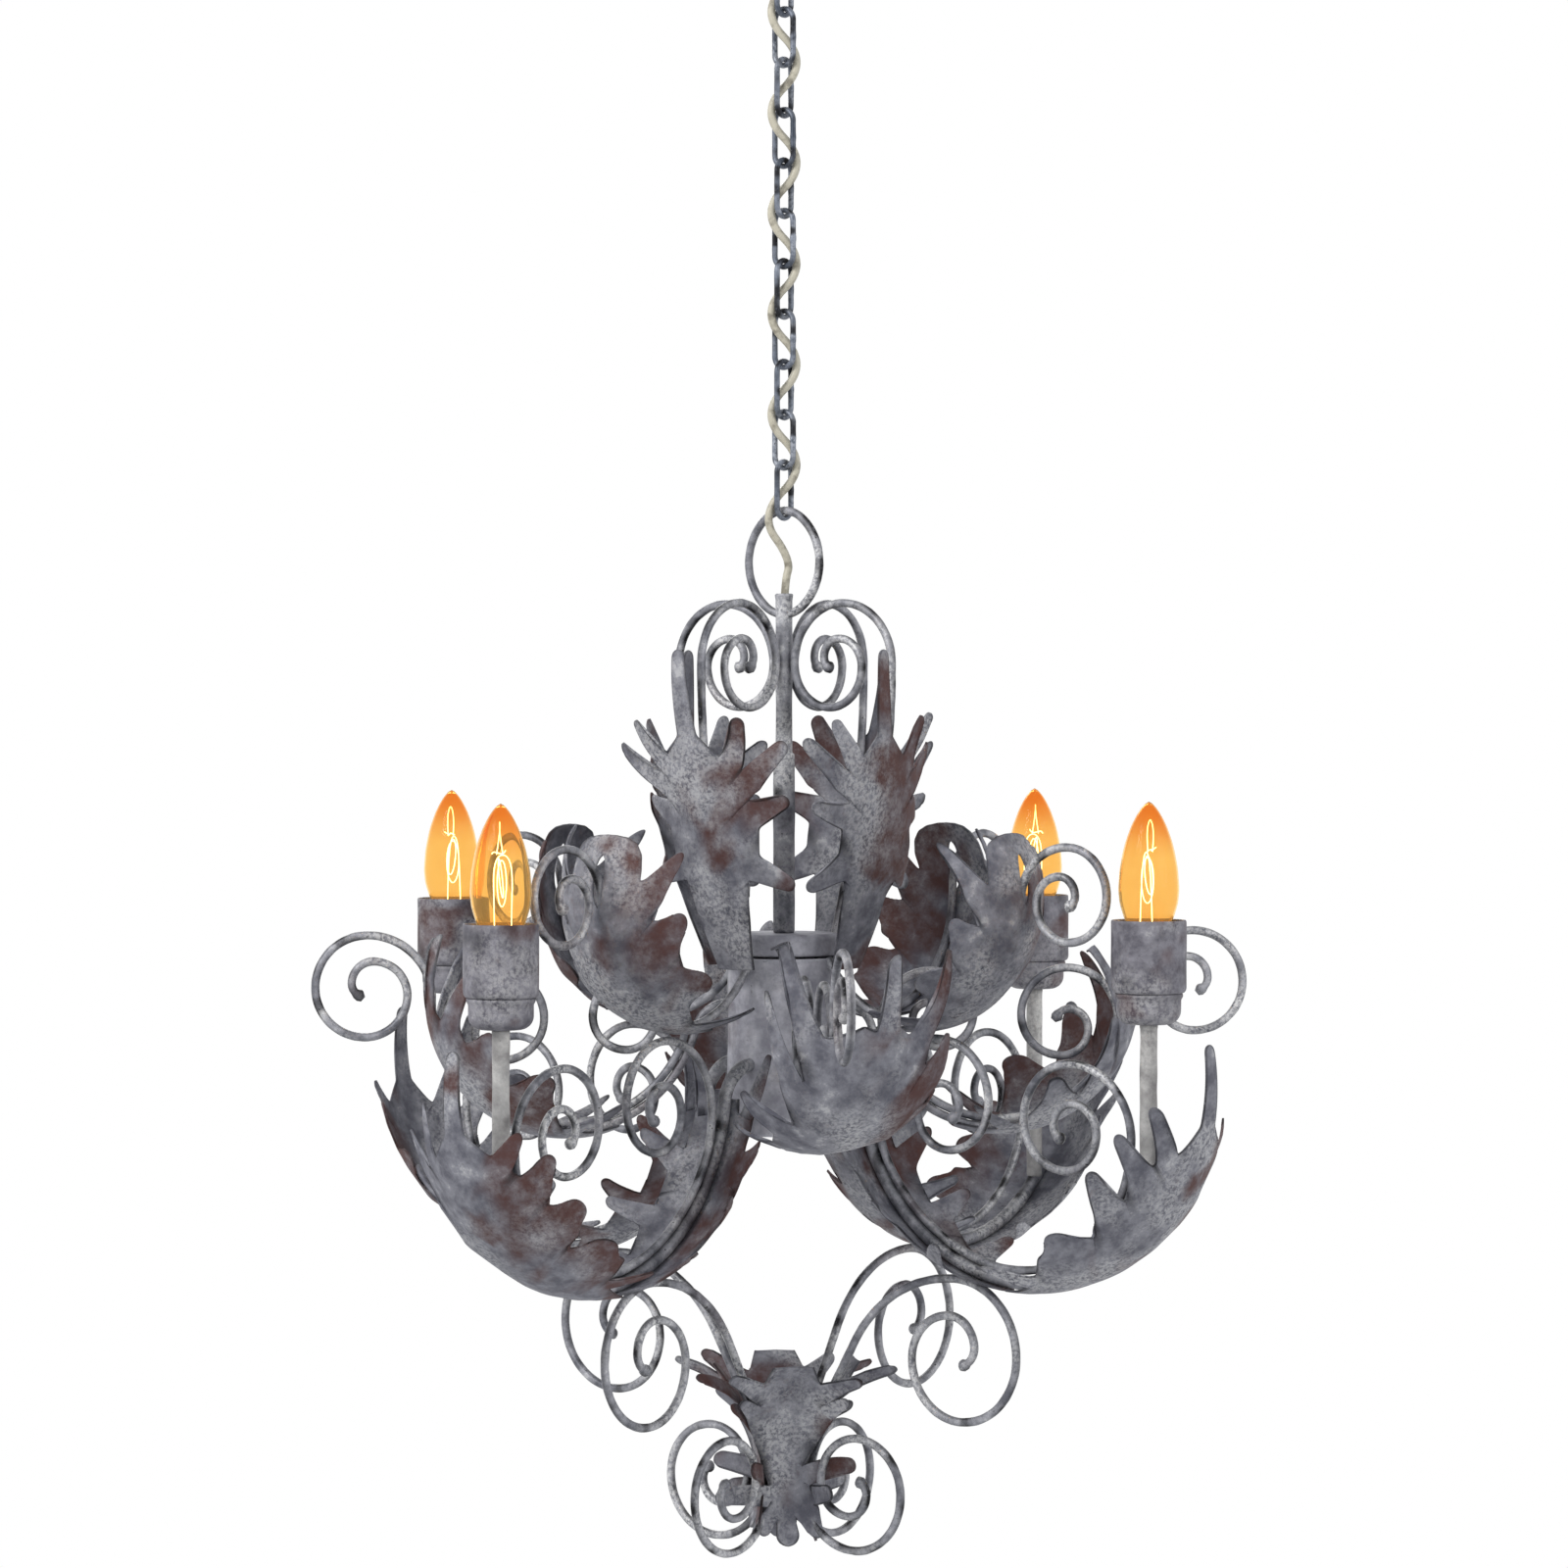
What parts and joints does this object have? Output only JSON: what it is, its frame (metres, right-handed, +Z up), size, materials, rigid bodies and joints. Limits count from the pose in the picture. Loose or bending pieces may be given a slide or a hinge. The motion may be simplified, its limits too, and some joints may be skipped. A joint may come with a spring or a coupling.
{
  "type": "iron chandelier on a chain",
  "caption": "Wrought-iron chandelier of forged scrolls and acanthus leaves round a can, hung on a chain with a woven flex and amber candle bulbs.",
  "frame": {"origin": "centre of the ceiling plate's top face", "axes": "+Z up; the candle arms lie along +X, +Y, -X and -Y, and the scroll arms on the diagonals"},
  "size_m": [0.6108, 0.6108, 0.9858],
  "materials": {
    "leaf_iron": "limewashed zinc grey with rust patches, matte",
    "bar_iron": "hammered, limewashed, dark in the recesses",
    "chain_steel": "dull galvanised",
    "flex_cream": "matte",
    "stem_cream": "chalky cream-grey paint",
    "holder_iron": "mottled grey with rust",
    "socket_plastic": "matte",
    "bulb_amber": "clear, lit amber",
    "bulb_brass": "satin",
    "filament_wire": "glowing"
  },
  "bodies": {
    "ceiling_fitting": {"ceiling_plate": "bar_iron", "ceiling_hook": "bar_iron", "cord_grip": "socket_plastic", "flex_cable": "flex_cream"},
    "link_01": {"chain_link_01": "chain_steel"},
    "link_02": {"chain_link_02": "chain_steel"},
    "link_03": {"chain_link_03": "chain_steel"},
    "link_04": {"chain_link_04": "chain_steel"},
    "link_05": {"chain_link_05": "chain_steel"},
    "link_06": {"chain_link_06": "chain_steel"},
    "link_07": {"chain_link_07": "chain_steel"},
    "link_08": {"chain_link_08": "chain_steel"},
    "link_09": {"chain_link_09": "chain_steel"},
    "link_10": {"chain_link_10": "chain_steel"},
    "link_11": {"chain_link_11": "chain_steel"},
    "lamp": {"hanging_ring": "bar_iron", "hanging_tube": "bar_iron", "tube_sleeve": "bar_iron", "body_lid": "leaf_iron", "body_can": "leaf_iron", "body_base": "leaf_iron", "tube_locknut": "chain_steel", "terminal_block": "socket_plastic", "upper_scrolls": "bar_iron", "upper_leaves": "leaf_iron", "mid_scrolls": "bar_iron", "mid_leaves": "leaf_iron", "arm_lyres": "bar_iron", "arm_outer_leaves": "leaf_iron", "arm_inner_leaves": "leaf_iron", "scroll_arm_lyres": "bar_iron", "scroll_arm_leaves": "leaf_iron", "foot_scrolls": "bar_iron", "foot_leaves": "leaf_iron", "candle_stems": "stem_cream", "holder_domes": "holder_iron", "holder_shells": "holder_iron", "holder_sockets": "socket_plastic", "candle_arm_1": "bar_iron", "scroll_arm_1": "bar_iron", "candle_arm_2": "bar_iron", "scroll_arm_2": "bar_iron", "candle_arm_3": "bar_iron", "scroll_arm_3": "bar_iron", "candle_arm_4": "bar_iron", "scroll_arm_4": "bar_iron"},
    "bulb_1": {"bulb_glass_1": "bulb_amber", "bulb_cap_1": "bulb_brass", "bulb_filament_1": "filament_wire"},
    "bulb_2": {"bulb_glass_2": "bulb_amber", "bulb_cap_2": "bulb_brass", "bulb_filament_2": "filament_wire"},
    "bulb_3": {"bulb_glass_3": "bulb_amber", "bulb_cap_3": "bulb_brass", "bulb_filament_3": "filament_wire"},
    "bulb_4": {"bulb_glass_4": "bulb_amber", "bulb_cap_4": "bulb_brass", "bulb_filament_4": "filament_wire"}
  },
  "joints": [
    {"name": "link_01_swing", "type": "hinge", "parent": "ceiling_fitting", "child": "link_01", "pos_m": [0, 0, -0.04], "axis": [1, 0, 0], "range_deg": [-8, 8], "deforming": ["flex_cable"]},
    {"name": "link_02_swing", "type": "hinge", "parent": "link_01", "child": "link_02", "pos_m": [0, 0, -0.0692], "axis": [0, 1, 0], "range_deg": [-8, 8], "deforming": ["flex_cable"]},
    {"name": "link_03_swing", "type": "hinge", "parent": "link_02", "child": "link_03", "pos_m": [0, 0, -0.0992], "axis": [1, 0, 0], "range_deg": [-8, 8], "deforming": ["flex_cable"]},
    {"name": "link_04_swing", "type": "hinge", "parent": "link_03", "child": "link_04", "pos_m": [0, 0, -0.1292], "axis": [0, 1, 0], "range_deg": [-8, 8], "deforming": ["flex_cable"]},
    {"name": "link_05_swing", "type": "hinge", "parent": "link_04", "child": "link_05", "pos_m": [0, 0, -0.1592], "axis": [1, 0, 0], "range_deg": [-8, 8], "deforming": ["flex_cable"]},
    {"name": "link_06_swing", "type": "hinge", "parent": "link_05", "child": "link_06", "pos_m": [0, 0, -0.1892], "axis": [0, 1, 0], "range_deg": [-8, 8], "deforming": ["flex_cable"]},
    {"name": "link_07_swing", "type": "hinge", "parent": "link_06", "child": "link_07", "pos_m": [0, 0, -0.2192], "axis": [1, 0, 0], "range_deg": [-8, 8], "deforming": ["flex_cable"]},
    {"name": "link_08_swing", "type": "hinge", "parent": "link_07", "child": "link_08", "pos_m": [0, 0, -0.2492], "axis": [0, 1, 0], "range_deg": [-8, 8], "deforming": ["flex_cable"]},
    {"name": "link_09_swing", "type": "hinge", "parent": "link_08", "child": "link_09", "pos_m": [0, 0, -0.2792], "axis": [1, 0, 0], "range_deg": [-8, 8], "deforming": ["flex_cable"]},
    {"name": "link_10_swing", "type": "hinge", "parent": "link_09", "child": "link_10", "pos_m": [0, 0, -0.3092], "axis": [0, 1, 0], "range_deg": [-8, 8], "deforming": ["flex_cable"]},
    {"name": "link_11_swing", "type": "hinge", "parent": "link_10", "child": "link_11", "pos_m": [0, 0, -0.3392], "axis": [1, 0, 0], "range_deg": [-8, 8], "deforming": ["flex_cable"]},
    {"name": "lamp_swing", "type": "hinge", "parent": "link_11", "child": "lamp", "pos_m": [0, 0, -0.3692], "axis": [0, 1, 0], "range_deg": [-8, 8], "deforming": ["flex_cable"]},
    {"name": "bulb_1_lift", "type": "slide", "parent": "lamp", "child": "bulb_1", "axis": [0, 0, 1], "range_m": [0, 0.03]},
    {"name": "bulb_2_lift", "type": "slide", "parent": "lamp", "child": "bulb_2", "axis": [0, 0, 1], "range_m": [0, 0.03]},
    {"name": "bulb_3_lift", "type": "slide", "parent": "lamp", "child": "bulb_3", "axis": [0, 0, 1], "range_m": [0, 0.03]},
    {"name": "bulb_4_lift", "type": "slide", "parent": "lamp", "child": "bulb_4", "axis": [0, 0, 1], "range_m": [0, 0.03]}
  ]
}
